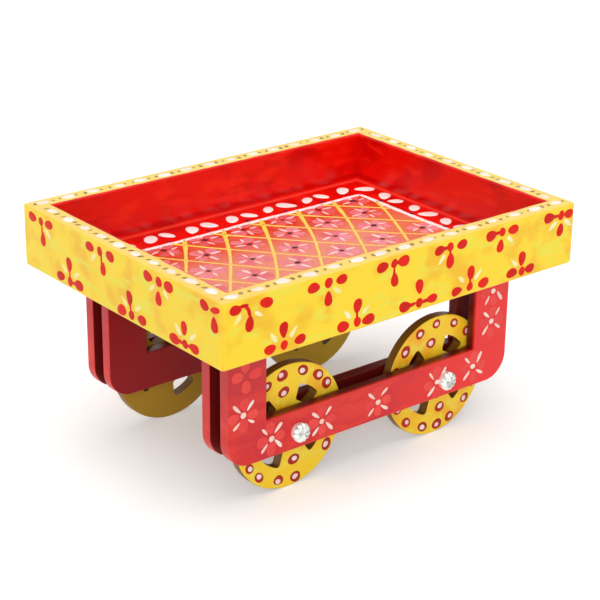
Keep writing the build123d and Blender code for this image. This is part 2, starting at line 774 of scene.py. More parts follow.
class PaintLayer:
    """Dabs and lines of one colour on one body, gathered into one mesh. Their sizes are in millimetres."""

    TONE = "tone"
    SUNK = -0.05
    # Share of the reach and of the height at each level of a dab and at each edge across a line
    DAB_CROWN = ((1.0, 0.3), (0.8, 0.8), (0.4, 1.0))
    LINE_CROWN = ((1.0, 0.3), (0.5, 1.0), (-0.5, 1.0), (-1.0, 0.3))
    # Degrees that a full drift may turn a dab by, ranges that the hand draws from, and how much thinner
    # a dab's tone is in its middle
    DAB_STRAY = 90.0
    DAB_WOBBLES = (0.07, 0.05)
    DAB_TONES = (0.0, 0.7)
    DAB_MIDDLE_TONE = 0.25
    LINE_SWAYS = (0.15, 0.4)
    LINE_WIDTHS = (0.82, 1.15)
    LINE_TONES = (0.0, 0.4)
    LINE_STEP_TONES = (0.0, 0.5)
    # Length of a line's steps and of half a sway, and how far its ends and its thin stretch narrow
    LINE_STEP = 2.5
    LINE_LEAST_STEPS = 6
    LINE_SWAY_LENGTH = 40.0
    LINE_END_WIDTH = 0.55
    FADED_NARROWING = 0.4
    FADED_TONE = 0.8

    def __init__(self, name: str, finish: DabFinish, body: str, slot: str) -> None:
        """Start an empty layer.

        Args:
            name: The piece's name.
            finish: The paint.
            body: The body that the layer rides on.
            slot: Name of a material slot, which is not used.
        """
        self.name, self.finish, self.body, self.slot = name, finish, body, slot
        self.points: list[Vector] = []
        self.faces: list[tuple[int, ...]] = []
        self.tones: list[float] = []
        self.hand = random.Random(name)

    def ring(self, points: "list[Vector]", tone: float) -> "list[int]":
        """Add points.

        Args:
            points: The points.
            tone: Their share of the thin tone.

        Returns:
            Their numbers.
        """
        first = len(self.points)
        self.points.extend(points)
        self.tones.extend([tone] * len(points))
        return list(range(first, len(self.points)))

    def skin(self, rings: "list[list[int]]") -> None:
        """Join each ring to the next with a band of faces, and close both ends.

        Args:
            rings: The numbers of each ring's points.
        """
        for lower, upper in zip(rings, rings[1:]):
            count = len(lower)
            for step in range(count):
                after = (step + 1) % count
                self.faces.append((lower[step], lower[after], upper[after], upper[step]))
        self.faces += [tuple(reversed(rings[0])), tuple(rings[-1])]

    def dab(self, panel: Panel, centre: Place, shape: Dab, angle: float = 0.0, thinner: float = 0.0) -> None:
        """Lay one dab.

        Args:
            panel: The panel that it lies on.
            centre: Its middle in millimetres on the panel.
            shape: Its shape.
            angle: Degrees that its length turns from the panel's right towards up.
            thinner: How much more of the thin tone it has than other dabs.
        """
        hand, drift = self.hand, shape.drift
        reach = drift * shape.width
        turn = math.radians(angle + hand.uniform(-1, 1) * self.DAB_STRAY * drift)
        middle = (centre[0] + hand.uniform(-reach, reach), centre[1] + hand.uniform(-reach, reach))
        phases = [hand.uniform(0, math.tau) for _ in self.DAB_WOBBLES]
        wobbles = [hand.uniform(0, most) for most in self.DAB_WOBBLES]
        size = 1 + hand.uniform(-drift, drift)
        outline = [(size * x, size * y) for x, y in shape.outline(phases, wobbles)]
        tone = hand.uniform(*self.DAB_TONES) + thinner

        def level(share: float, height: float) -> "list[Vector]":
            """Points of the outline, drawn in.

            Args:
                share: How much of the outline's reach is left.
                height: Millimetres off the panel.

            Returns:
                The points in metres.
            """
            cosine, sine = share * math.cos(turn), share * math.sin(turn)
            return [
                panel.at((middle[0] + x * cosine - y * sine, middle[1] + x * sine + y * cosine), height)
                for x, y in outline
            ]

        levels = [(1.0, self.SUNK)] + [(share, rise * shape.height) for share, rise in self.DAB_CROWN]
        self.skin([
            self.ring(level(share, height), tone + self.DAB_MIDDLE_TONE * (1 - share))
            for share, height in levels
        ])

    def line(
        self,
        panel: Panel,
        route: "tuple[Place, Place, Place]",
        width: float,
        fading: Range = (0.0, 0.0),
        height: float = 0.14,
    ) -> None:
        """Draw one long brush line.

        Args:
            panel: The panel that it lies on.
            route: Its first end, its middle and its other end in millimetres on the panel.
            width: Its mean width in millimetres.
            fading: How far it has thinned at its first and its other end, where 1 or more is fully thin.
            height: Its mean height in millimetres.
        """
        hand = self.hand
        start, halfway, end = route
        run = (end[0] - start[0], end[1] - start[1])
        length = math.hypot(*run)
        side = (-run[1] / length, run[0] / length)
        bow = (halfway[0] - start[0] - run[0] / 2, halfway[1] - start[1] - run[1] / 2)
        steps = max(self.LINE_LEAST_STEPS, round(length / self.LINE_STEP))
        phase, sway = hand.uniform(0, math.tau), hand.uniform(*self.LINE_SWAYS)
        tone = hand.uniform(*self.LINE_TONES)
        across = [(-1.0, self.SUNK), (1.0, self.SUNK)]
        across += [(reach, rise * height) for reach, rise in self.LINE_CROWN]
        rings = []
        for step in range(steps + 1):
            share = step / steps
            turn = math.pi * share * length / self.LINE_SWAY_LENGTH + phase
            off = sway * math.sin(turn) * math.sin(math.pi * share)
            arch = 4 * share * (1 - share)
            middle = [start[k] + share * run[k] + off * side[k] + arch * bow[k] for k in (0, 1)]
            thinned = min(1.0, fading[0] + share * (fading[1] - fading[0]))
            half = width / 2 * hand.uniform(*self.LINE_WIDTHS) * (1 - self.FADED_NARROWING * thinned)
            if step in (0, steps):
                half *= self.LINE_END_WIDTH
            points = [
                panel.at((middle[0] + reach * half * side[0], middle[1] + reach * half * side[1]), rise)
                for reach, rise in across
            ]
            step_tone = tone + hand.uniform(*self.LINE_STEP_TONES) + self.FADED_TONE * thinned
            rings.append(self.ring(points, min(1.0, step_tone)))
        self.skin(rings)

    def build(self) -> bpy.types.Object:
        """Make the layer's mesh, dress it and set it on its body.

        Returns:
            The new piece.
        """
        mesh = bpy.data.meshes.new(self.name)
        mesh.from_pydata(self.points, [], self.faces)
        mesh.attributes.new(self.TONE, "FLOAT", "POINT").data.foreach_set("value", self.tones)
        shaper = bmesh.new()
        shaper.from_mesh(mesh)
        bmesh.ops.recalc_face_normals(shaper, faces=shaper.faces)
        shaper.to_mesh(mesh)
        shaper.free()
        mesh.polygons.foreach_set("use_smooth", [True] * len(mesh.polygons))
        mesh.materials.append(self.finish.material(self.name))
        piece = put_in_scene(self.name, mesh)
        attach(piece, self.body)
        LOG.info("%s: %d faces", self.name, len(mesh.polygons))
        return piece


def dress(node: str, material: bpy.types.Material) -> None:
    """Give a node of the model its finish.

    Args:
        node: The node's name.
        material: The finish.
    """
    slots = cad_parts[node].material_slots
    for slot in slots:
        slot.material = material
    if not slots:
        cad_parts[node].data.materials.append(material)
    LOG.info("%s: dressed in %s", node, material.name)


@dataclass(frozen=True)
class Spray:
    """One painted spray on a wall, in millimetres: its place and how far its petals stand from its heart."""

    at: float
    left: float
    right: float
    tip: float
    lean: float = 0.0
    heart: Heart = Heart.ROUND


@dataclass(frozen=True)
class Wall:
    """Outer face of a wall, its length in millimetres, and the rows of sprays on it."""

    panel: Panel
    length: float
    rows: "tuple[tuple[Row, tuple[Spray, ...]], ...]"


@dataclass
class WallPaint:
    """Sprays of red petals with pale leaves in two staggered rows on each outer face of the tray."""

    petals: DabFinish
    leaves: DabFinish
    side_petal: Dab = Dab(6.6, 4.7, taper=0.15, drift=0.08)
    side_shift: float = 0.2
    tip_petal: Dab = Dab(6.8, 4.5, taper=0.3, drift=0.06)
    heart: Dab = Dab(4.4, 4.0, drift=0.08)
    dash: Dab = Dab(6.2, 2.8, drift=0.08)
    dash_tilt: float = 12.0
    curl: Dab = Dab(5.0, 1.7, height=0.12, drift=0.05)
    # Place and turn of each stroke of a curl
    curl_strokes: tuple[Triple, ...] = (
        (-2.6, 0.8, -10.0),
        (-0.6, -0.9, -52.0),
        (0.2, -3.2, -72.0),
    )
    leaf: Dab = Dab(5.6, 2.0, taper=-0.35, height=0.10, drift=0.12)
    stem: Dab = Dab(6.4, 1.3, height=0.12, drift=0.05)
    stem_share: float = 0.5
    link: Dab = Dab(5.0, 1.7, height=0.12, drift=0.08)
    link_share: float = 0.25
    corner_clearance: float = 3.2
    hanging_line: float = 4.0
    rising_line: float = 3.7
    leaf_angle: float = 42.0
    leaf_distance: float = 7.0
    leaf_share: float = 0.65
    long_hanging: tuple[Spray, ...] = (
        Spray(13.4, 6.8, 8.5, 7.8, 0.4, Heart.CURL),
        Spray(54.6, 7.5, 7.5, 6.8),
        Spray(90.9, 6.5, 5.8, 7.6, 0.4),
        Spray(124.1, 6.6, 6.5, 6.3, -0.3),
        Spray(155.5, 6.4, 7.2, 6.3, -0.5),
        Spray(193.3, 7.3, 4.8, 7.2),
    )
    long_rising: tuple[Spray, ...] = (
        Spray(31.5, 7.6, 8.3, 7.2),
        Spray(70.8, 7.8, 6.5, 7.3),
        Spray(106.3, 8.2, 7.8, 7.6),
        Spray(136.8, 8.1, 8.4, 6.6, 0.3),
        Spray(169.6, 6.5, 5.0, 6.0),
    )
    short_hanging: tuple[Spray, ...] = (
        Spray(16.0, 7.5, 6.5, 8.0, 1.0),
        Spray(64.0, 8.0, 7.5, 7.4, 2.2),
        Spray(108.2, 7.8, 7.2, 7.6, -0.5),
        Spray(147.3, 7.3, 0.0, 6.6, -0.3, Heart.DASH),
    )
    short_rising: tuple[Spray, ...] = (
        Spray(39.2, 7.8, 6.7, 7.7, -0.8),
        Spray(87.2, 7.1, 7.9, 7.2, -0.8),
        Spray(126.6, 7.7, 6.0, 7.0, -0.7),
    )

    def spray(
        self,
        layers: "tuple[PaintLayer, PaintLayer]",
        wall: Wall,
        line: float,
        row: Row,
        spray: Spray,
    ) -> None:
        """Paint one spray.

        Args:
            layers: Layers of the petals and of the leaves.
            wall: The wall.
            line: Height of the row's hearts above the wall's lower edge.
            row: The row, which says where the tip points.
            spray: The spray's place and size.
        """
        red, pale = layers
        panel, way = wall.panel, row.value
        middle = (spray.at, line)
        if spray.heart is Heart.ROUND:
            red.dab(panel, middle, self.heart, 90.0)
        elif spray.heart is Heart.DASH:
            red.dab(panel, middle, self.dash, self.dash_tilt)
        else:
            for along, up, turn in self.curl_strokes:
                red.dab(panel, (spray.at + along, line - way * up), self.curl, -way * turn)
        red.dab(panel, (spray.at + spray.lean, line + way * spray.tip), self.tip_petal, way * 90.0)
        if spray.heart is Heart.ROUND and red.hand.random() < self.stem_share:
            red.dab(panel, (spray.at + spray.lean / 2, line + way * spray.tip / 2), self.stem, way * 90.0)
        for reach, sign in ((spray.left, -1), (spray.right, 1)):
            outward = 90.0 - sign * 90.0
            if reach:
                petal_place = (spray.at + sign * reach, line + self.side_shift * way)
                red.dab(panel, petal_place, self.side_petal, outward)
            if reach and spray.heart is Heart.ROUND and red.hand.random() < self.link_share:
                red.dab(panel, (spray.at + sign * reach / 2, line), self.link, outward)
            leaf_turn = way * (90.0 - sign * (90.0 - self.leaf_angle))
            leaf_place = around(middle, self.leaf_distance, leaf_turn)
            clear = self.corner_clearance < leaf_place[0] < wall.length - self.corner_clearance
            if clear and pale.hand.random() < self.leaf_share:
                pale.dab(panel, leaf_place, self.leaf, leaf_turn)

    def build(self) -> None:
        """Paint all four walls."""
        low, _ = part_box("right_wall")
        _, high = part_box("left_wall")
        length, width, height = (high - low) / MM
        long_rows = ((Row.HANGING, self.long_hanging), (Row.RISING, self.long_rising))
        short_rows = ((Row.HANGING, self.short_hanging), (Row.RISING, self.short_rising))
        walls = (
            Wall(Panel(Vector((low.x, low.y, low.z)), FORWARD, UPWARD), length, long_rows),
            Wall(Panel(Vector((high.x, high.y, low.z)), -FORWARD, UPWARD), length, long_rows),
            Wall(Panel(Vector((low.x, high.y, low.z)), -LEFTWARD, UPWARD), width, short_rows),
            Wall(Panel(Vector((high.x, low.y, low.z)), LEFTWARD, UPWARD), width, short_rows),
        )
        red = PaintLayer("wall_petals", self.petals, CART_BODY, "tray_paint")
        pale = PaintLayer("wall_leaves", self.leaves, CART_BODY, "tray_paint")
        lines = {Row.HANGING: height - self.hanging_line, Row.RISING: self.rising_line}
        for wall in walls:
            for row, sprays in wall.rows:
                for spray in sprays:
                    self.spray((red, pale), wall, lines[row], row, spray)
        red.build()
        pale.build()


@dataclass
class RimPaint:
    """White ovals along the rim, each between two small dark dashes."""

    ovals: DabFinish
    dashes: DabFinish
    oval: Dab = Dab(6.4, 4.2, taper=0.1, drift=0.15)
    dash: Dab = Dab(2.4, 1.5, height=0.1, drift=0.3)
    dash_tilt: float = 60.0
    dash_offset: float = 4.5
    spacing: float = 13.3
    # Place of the first oval along a wall, and how many there are
    long_run: "tuple[float, int]" = (8.4, 15)
    short_run: "tuple[float, int]" = (4.5, 10)

    def build(self) -> None:
        """Paint the rim of all four walls."""
        white = PaintLayer("rim_ovals", self.ovals, CART_BODY, "tray_paint")
        dark = PaintLayer("rim_dashes", self.dashes, CART_BODY, "tray_paint")
        for node in WALLS:
            low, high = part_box(node)
            size = (high - low) / MM
            if size.x > size.y:
                panel = Panel(Vector((low.x, low.y, high.z)), FORWARD, LEFTWARD)
                length, width = size.x, size.y
                first, count = self.long_run
            else:
                panel = Panel(Vector((high.x, low.y, high.z)), LEFTWARD, -FORWARD)
                length, width = size.y, size.x
                first, count = self.short_run
            for step in range(count):
                place = first + step * self.spacing
                white.dab(panel, (place, width / 2), self.oval)
                for spot in (place - self.dash_offset, place + self.dash_offset):
                    if self.dash.length < spot < length - self.dash.length:
                        dark.dab(panel, (spot, width / 2), self.dash, self.dash_tilt)
        white.build()
        dark.build()


@dataclass
class FloorPaint:
    """A white frame with leaf pairs round it, and inside it a yellow lattice with a flower in every cell.

    Places are about the floor's middle. The lattice was drawn freehand: it fans out towards the right wall,
    and its lines thin on the way there.
    """

    white: DabFinish
    lattice: DabFinish
    pink: DabFinish
    blush: DabFinish
    heart: DabFinish
    frame_margin: Place = (14.3, 18.8)
    frame_width: float = 2.8
    leaf: Dab = Dab(9.6, 5.8, taper=0.2, drift=0.12)
    leaf_margin: Place = (6.3, 9.2)
    leaf_spacing: float = 11.8
    leaf_first: Place = (22.5, 22.8)
    leaf_count: tuple[int, int] = (13, 9)
    leaf_tilt: float = 52.0
    pair_draw: float = 0.8
    foot: Dab = Dab(2.6, 1.8, drift=0.2)
    foot_gap: float = 0.4
    foot_back: float = 0.4
    cell: Place = (22.8, 33.1)
    lattice_shift: float = 3.9
    lattice_widths: Place = (1.7, 2.5)
    lattice_steps: int = 120
    lattice_fade: float = 30.0
    lattice_least: float = 1 / 3
    fan: float = 0.22
    fan_foot: float = -57.0
    petal: Dab = Dab(6.6, 5.2, taper=0.25, height=0.10, drift=0.2)
    petal_reach: float = 4.8
    petal_turn: float = 45.0
    flower_clearance: float = 0.6
    fading: float = 0.6
    sliver: Dab = Dab(5.4, 1.5, taper=-0.2, height=0.15, drift=0.2)
    sliver_reach: float = 5.2
    heart_dab: Dab = Dab(2.9, 2.3, height=0.2, drift=0.2)

    def build(self) -> None:
        """Paint the whole floor."""
        low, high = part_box("tray_floor")
        panel = Panel(Vector(((low.x + high.x) / 2, (low.y + high.y) / 2, high.z)), FORWARD, LEFTWARD)
        reach = ((high.x - low.x) / (2 * MM), (high.y - low.y) / (2 * MM))
        half = (reach[0] - self.frame_margin[0], reach[1] - self.frame_margin[1])
        self.border(panel, reach, half)
        self.trellis(panel, half)
        self.flowers(panel, half)

    def border(self, panel: Panel, reach: Place, half: Place) -> None:
        """Paint the white frame and the leaf pairs round it.

        Args:
            panel: The floor.
            reach: Half of the floor's length and width.
            half: Half of the frame's length and width.
        """
        white = PaintLayer("floor_border", self.white, CART_BODY, "floor_paint")
        dark = PaintLayer("floor_border_feet", self.heart, CART_BODY, "floor_paint")
        corners = [(x * half[0], y * half[1]) for x, y in ((-1, -1), (1, -1), (1, 1), (-1, 1))]
        for start, end in zip(corners, corners[1:] + corners[:1]):
            middle = ((start[0] + end[0]) / 2, (start[1] + end[1]) / 2)
            white.line(panel, (start, middle, end), self.frame_width)
        for along in (0, 1):
            across = 1 - along
            for side, inward in enumerate((1, -1)):
                for step in range(self.leaf_count[along]):
                    draw = -self.pair_draw if step % 2 else self.pair_draw
                    place = [0.0, 0.0]
                    place[along] = self.leaf_first[along] - reach[along] + step * self.leaf_spacing + draw
                    place[across] = inward * (self.leaf_margin[across] - reach[across])
                    tilt = self.leaf_tilt if (step + side) % 2 else 180.0 - self.leaf_tilt
                    white.dab(panel, tuple(place), self.leaf, tilt - 90.0 * along)
                    if step % 2:
                        place[across] += inward * (self.leaf.width + self.foot_gap)
                        place[along] -= self.foot_back * self.leaf_spacing
                        dark.dab(panel, tuple(place), self.foot)
        white.build()
        dark.build()

    def fanned(self, x: float, y: float, half: Place) -> float:
        """Place along the floor of a spot of the pattern, which fans out towards the right wall.

        Args:
            x: Millimetres forward of the floor's middle in an even pattern.
            y: Millimetres to the left of it.
            half: Half of the frame's length and width.

        Returns:
            Millimetres forward in the fanned pattern.
        """
        spread = 1 + self.fan * (half[1] - y) / (2 * half[1])
        return self.fan_foot + (x - self.fan_foot) * spread

    def trellis(self, panel: Panel, half: Place) -> None:
        """Draw the lattice inside the frame.

        Args:
            panel: The floor.
            half: Half of the frame's length and width.
        """
        yellow = PaintLayer("floor_lattice", self.lattice, CART_BODY, "floor_paint")
        slope = self.cell[1] / self.cell[0]
        count = math.ceil((half[0] + half[1] / slope) / self.cell[0]) + 1
        for lean, width in zip((-1, 1), self.lattice_widths):
            for step in range(-count, count + 1):
                foot = self.lattice_shift + (step + (1 - lean) / 4) * self.cell[0]
                run = []
                for spot in range(self.lattice_steps + 1):
                    y = half[1] * (2 * spot / self.lattice_steps - 1)
                    x = self.fanned(foot + lean * y / slope, y, half)
                    if abs(x) <= half[0]:
                        run.append((x, y))
                if run and math.dist(run[0], run[-1]) > self.lattice_least * self.cell[0]:
                    route = (run[0], run[len(run) // 2], run[-1])
                    fading = tuple((half[1] - y) / self.lattice_fade for _, y in (run[0], run[-1]))
                    yellow.line(panel, route, width, fading)
        yellow.build()

    def flowers(self, panel: Panel, half: Place) -> None:
        """Paint a flower in every cell of the lattice.

        Args:
            panel: The floor.
            half: Half of the frame's length and width.
        """
        pink = PaintLayer("floor_flowers", self.pink, CART_BODY, "floor_paint")
        blush = PaintLayer("floor_flower_lights", self.blush, CART_BODY, "floor_paint")
        heart = PaintLayer("floor_flower_hearts", self.heart, CART_BODY, "floor_paint")
        rows = round(2 * half[1] / (self.cell[1] / 2))
        columns = math.ceil(half[0] / self.cell[0]) + 1
        clear = self.flower_clearance * (self.petal_reach + self.petal.length / 2)
        for row in range(rows):
            y = (row - (rows - 1) / 2) * self.cell[1] / 2
            shift = self.lattice_shift + (row - rows / 2) * self.cell[0] / 2 + self.cell[0] / 4
            fading = self.fading * max(0.0, y / half[1])
            for column in range(-columns, columns + 1):
                x = self.fanned(shift + (column + 0.5) * self.cell[0], y, half)
                if abs(x) > half[0] - clear or abs(y) > half[1] - clear:
                    continue
                for turn in QUARTER_TURNS:
                    for layer, shape, out, reach in (
                        (pink, self.petal, turn + self.petal_turn, self.petal_reach),
                        (blush, self.sliver, turn, self.sliver_reach),
                    ):
                        layer.dab(panel, around((x, y), reach, out), shape, out, fading)
                heart.dab(panel, (x, y), self.heart_dab)
        pink.build()
        blush.build()
        heart.build()


@dataclass
class Tray:
    """The tray: its walls' two coats, its red floor, and all that is painted on them."""

    yellow: Coat
    red: Coat
    ember: Colour
    coral: Colour
    # Lighter bead along the seams of floor and walls, partly painted highlight
    bead: Colour
    bare: Colour
    worn: Colour
    # Paler tone for tops that face up: painted light from above
    rim: Colour
    wall_paint: WallPaint
    rim_paint: RimPaint
    floor_paint: FloorPaint

    def build(self) -> None:
        """Dress the boards and paint the motifs."""
        _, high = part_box("tray_floor")
        # Paler tops as painted light, wear, and the lighter bead that is partly painted highlight
        wall_tones = (self.rim, self.worn, self.bead)
        walls = TrayFinish(self.yellow, self.red, *wall_tones, *high).material("tray_walls")
        for node in WALLS:
            dress(node, walls)
        margin = self.floor_paint.frame_margin
        framed = (high.x - margin[0] * MM, high.y - margin[1] * MM)
        # Orange fill, coral wash, the lighter bead that is partly painted highlight, and the bare underside
        floor_tones = (self.ember, self.coral, self.bead, self.bare)
        floor = FloorFinish(self.red, *floor_tones, (high.x, high.y), framed)
        dress("tray_floor", floor.material("tray_floor_coat"))
        for paint in (self.wall_paint, self.rim_paint, self.floor_paint):
            paint.build()


@dataclass(frozen=True)
class CrossFlower:
    """Place of one white cross flower on a leg, in millimetres from its middle and above its lower edge."""

    along: float
    above: float
    faint: bool = False


@dataclass
class Legs:
    """The leg boards, red all over, with cross flowers on the outer faces."""

    coat: Coat
    # Painted light towards the front, and painted shade under the tray high on the rear uprights
    bright: Colour
    dull: Colour
    worn: Colour
    # Painted shade behind the outer faces, deepest in the slot between the boards
    inner: Colour
    slot: Colour
    white: DabFinish
    coral: DabFinish
    stroke: Dab = Dab(5.2, 1.5, taper=0.3, height=0.12, drift=0.16)
    stroke_reach: float = 5.4
    stroke_turns: tuple[float, ...] = (47.0, 133.0, 227.0, 318.0)
    heart: Dab = Dab(3.0, 2.7, height=0.16, drift=0.12)
    petal: Dab = Dab(6.2, 4.8, taper=0.2, height=0.08, drift=0.12)
    petal_reach: float = 4.9
    flowers: tuple[CrossFlower, ...] = (
        CrossFlower(-73.0, 42.5, True),
        CrossFlower(-74.3, 24.4),
        CrossFlower(-59.3, 9.2),
        CrossFlower(-30.8, 9.0),
        CrossFlower(2.0, 8.8),
        CrossFlower(38.8, 8.2),
        CrossFlower(61.8, 10.0),
        CrossFlower(72.5, 30.6),
        CrossFlower(72.8, 46.0),
    )

    def build(self) -> None:
        """Dress the boards and paint the flowers."""
        outer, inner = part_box("left_outer_leg")[1].y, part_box("left_inner_leg")[0].y
        # After the coat: painted light, painted shade under the tray, wear, then painted shade behind the
        # outer faces and in the slot
        tones = (self.bright, self.dull, self.worn, self.inner, self.slot)
        red = LegFinish(self.coat, *tones, outer, inner).material("leg_coat")
        white = PaintLayer("leg_strokes", self.white, CART_BODY, "leg_paint")
        coral = PaintLayer("leg_petals", self.coral, CART_BODY, "leg_paint")
        for side in Side:
            for layer in ("outer", "inner"):
                dress(f"{side.label}_{layer}_leg", red)
            low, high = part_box(f"{side.label}_outer_leg")
            face = low.y if side is Side.RIGHT else high.y
            panel = Panel(Vector(((low.x + high.x) / 2, face, low.z)), -side.value * FORWARD, UPWARD)
            for flower in self.flowers:
                self.paint(white, coral, panel, flower)
        white.build()
        coral.build()

    def paint(self, white: PaintLayer, coral: PaintLayer, panel: Panel, flower: CrossFlower) -> None:
        """Paint one cross flower, without its white where it is faint.

        Args:
            white: Layer of the strokes and hearts.
            coral: Layer of the petals.
            panel: The leg's outer face.
            flower: The flower's place.
        """
        middle = (flower.along, flower.above)
        for turn in QUARTER_TURNS:
            coral.dab(panel, around(middle, self.petal_reach, turn), self.petal, turn)
        if flower.faint:
            return
        for turn in self.stroke_turns:
            white.dab(panel, around(middle, self.stroke_reach, turn), self.stroke, turn)
        white.dab(panel, middle, self.heart)


@dataclass
class Wheel:
    """One wheel: its coat, and the ringed dots on its outer face."""

    side: Side
    end: End
    coat: bpy.types.Material
    ring: DabFinish
    heart: DabFinish
    rim_turns: tuple[float, ...]
    spoke_turn: float
    rim_reach: float = 26.2
    spoke_reach: float = 17.4
    ring_dab: Dab = Dab(5.8, 4.8, height=0.12, drift=0.1)
    heart_dab: Dab = Dab(3.1, 2.6, height=0.22, drift=0.12)

    @property
    def node(self) -> str:
        """Name of the wheel's node, which is its body's name too."""
        return f"{self.end.label}_{self.side.label}_wheel"

    def build(self) -> None:
        """Dress the wheel and paint its dots."""
        dress(self.node, self.coat)
        low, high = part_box(self.node)
        face = low.y if self.side is Side.RIGHT else high.y
        centre = Vector(((low.x + high.x) / 2, face, (low.z + high.z) / 2))
        panel = Panel(centre, -self.side.value * FORWARD, UPWARD)
        ring = PaintLayer(f"{self.node}_rings", self.ring, self.node, "wheel_paint")
        heart = PaintLayer(f"{self.node}_dots", self.heart, self.node, "wheel_paint")
        dots = [(self.rim_reach, turn) for turn in self.rim_turns]
        dots += [(self.spoke_reach, self.spoke_turn + turn) for turn in QUARTER_TURNS]
        for reach, turn in dots:
            place = around((0.0, 0.0), reach, turn)
            ring.dab(panel, place, self.ring_dab, turn + 90.0)
            heart.dab(panel, place, self.heart_dab, turn + 90.0)
        ring.build()
        heart.build()


@dataclass
class Stone:
    """One faceted stone glued over a pin's end, in place of the plain one.

    Its shares are of its radius at the foot, the waist and the table, and of its depth at the girdle and the
    waist. Its tones are what its facets throw back.
    """

    side: Side
    end: End
    finish: bpy.types.Material
    mains: int = 12
    foot_share: float = 0.96
    waist_share: float = 0.92
    table_share: float = 0.62
    girdle_rise: float = 0.48
    waist_rise: float = 0.80
    # Tones of the painted reflections on the foot, the girdle, the crown and the table
    foot_tone: float = 0.8
    girdle_tones: Range = (0.2, 0.4)
    crown_tones: Range = (0.1, 0.85)
    table_tones: Range = (0.5, 1.0)

    TONE = "facet"

    @property
    def node(self) -> str:
        """Name of the stone's node."""
        return f"{self.end.label}_{self.side.label}_crystal"

    def levels(self) -> "list[list[Vector]]":
        """Points of the stone, level by level.

        Returns:
            The points round the foot, the girdle, the waist and the table, and the table's middle.
        """
        low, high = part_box(self.node)
        radius, depth = (high.x - low.x) / 2, high.y - low.y
        foot = high.y if self.side is Side.RIGHT else low.y
        base = Vector(((low.x + high.x) / 2, foot, (low.z + high.z) / 2))
        outward = self.side.value * LEFTWARD

        def ring(count: int, reach: float, rise: float, first: float) -> "list[Vector]":
            """Points round the stone at a reach and a rise, from a first angle on."""
            turns = [first + math.tau * n / count for n in range(count)]
            ways = [Vector((math.cos(turn), 0, math.sin(turn))) for turn in turns]
            return [base + depth * rise * outward + radius * reach * way for way in ways]

        return [
            ring(2 * self.mains, self.foot_share, 0.0, 0.0),
            ring(2 * self.mains, 1.0, self.girdle_rise, 0.0),
            ring(self.mains, self.waist_share, self.waist_rise, math.pi / self.mains),
            ring(self.mains, self.table_share, 1.0, 0.0),
            [base + depth * outward],
        ]

    def cut(self) -> bpy.types.Mesh:
        """Cut the stone's facets.

        Returns:
            The mesh, with a tone for each facet.
        """
        cutter = bmesh.new()
        hand = random.Random(self.node)
        rings = [[cutter.verts.new(point) for point in level] for level in self.levels()]
        foot, girdle, waist, table, (middle,) = rings
        cutter.faces.new(foot)
        tones = [self.foot_tone]

        def facet(limits: Range, *corners: bmesh.types.BMVert) -> None:
            """Cut one facet, with a tone between two limits."""
            cutter.faces.new(corners)
            tones.append(hand.uniform(*limits))

        count = self.mains
        for n in range(2 * count):
            after = (n + 1) % (2 * count)
            facet(self.girdle_tones, foot[n], foot[after], girdle[after], girdle[n])
        for n in range(count):
            after = (n + 1) % count
            main, half, following = girdle[2 * n], girdle[2 * n + 1], girdle[2 * after]
            facet(self.crown_tones, main, half, waist[n])
            facet(self.crown_tones, half, following, waist[n])
            facet(self.crown_tones, main, waist[n], table[n])
            facet(self.crown_tones, following, table[after], waist[n])
            facet(self.crown_tones, table[n], waist[n], table[after])
            facet(self.table_tones, table[n], table[after], middle)
        bmesh.ops.recalc_face_normals(cutter, faces=cutter.faces)
        mesh = bpy.data.meshes.new(f"{self.node}_cut")
        cutter.to_mesh(mesh)
        cutter.free()
        mesh.attributes.new(self.TONE, "FLOAT", "FACE").data.foreach_set("value", tones)
        return mesh

    def build(self) -> bpy.types.Object:
        """Cut the stone and set it in its place.

        Returns:
            The new piece.
        """
        mesh = self.cut()
        mesh.materials.append(self.finish)
        piece = put_in_scene(f"{self.node}_cut", mesh)
        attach(piece, CART_BODY)
        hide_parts(self.node)
        LOG.info("%s: %d facets", piece.name, len(mesh.polygons))
        return piece


@dataclass
class RunningGear:
    """The four wheels with their dots, the pins that they turn on, and the stones over the pins' ends."""

    coat: Coat
    # Inner faces: a thin coat, lighter on the front wheels as painted light and darker on the rear wheels as
    # painted shade
    front_thin: Colour
    rear_thin: Colour
    # Sawn edges and windows: partly soaked end grain, partly painted shade
    sawn: Colour
    ring: DabFinish
    dot: DabFinish
    glass: StoneFinish
    wood: WoodFinish
    # Degrees of the dots round each wheel's rim, and of the first dot on its spokes
    rear_dots: tuple[int, ...] = (14, 35, 51, 74, 100, 120, 144, 168, 191, 213, 230, 256, 278, 324, 342, 359)
    front_dots: tuple[int, ...] = (20, 43, 66, 91, 114, 140, 162, 184, 206, 228, 254, 274, 293, 318, 339, 359)
    rear_right_spoke: float = 10.0
    front_right_spoke: float = 12.0
    rear_left_spoke: float = 21.0
    front_left_spoke: float = 5.0

    def build(self) -> None:
        """Dress the wheels and pins, paint the dots and cut the stones."""
        # Front wheels take the lighter inner tone as painted light, rear wheels the darker one as painted
        # shade
        coats = {
            end: WheelFinish(self.coat, thin, self.sawn).material(f"{end.label}_wheel_coat")
            for end, thin in ((End.FRONT, self.front_thin), (End.REAR, self.rear_thin))
        }
        dots = {
            (Side.RIGHT, End.REAR): (self.rear_dots, self.rear_right_spoke),
            (Side.RIGHT, End.FRONT): (self.front_dots, self.front_right_spoke),
            (Side.LEFT, End.REAR): (self.front_dots, self.rear_left_spoke),
            (Side.LEFT, End.FRONT): (self.rear_dots, self.front_left_spoke),
        }
        glass = self.glass.material("cut_glass")
        wood = self.wood.material("bare_wood")
        for side in Side:
            for end in End:
                Wheel(side, end, coats[end], self.ring, self.dot, *dots[side, end]).build()
                Stone(side, end, glass).build()
                dress(f"{end.label}_{side.label}_pin", wood)


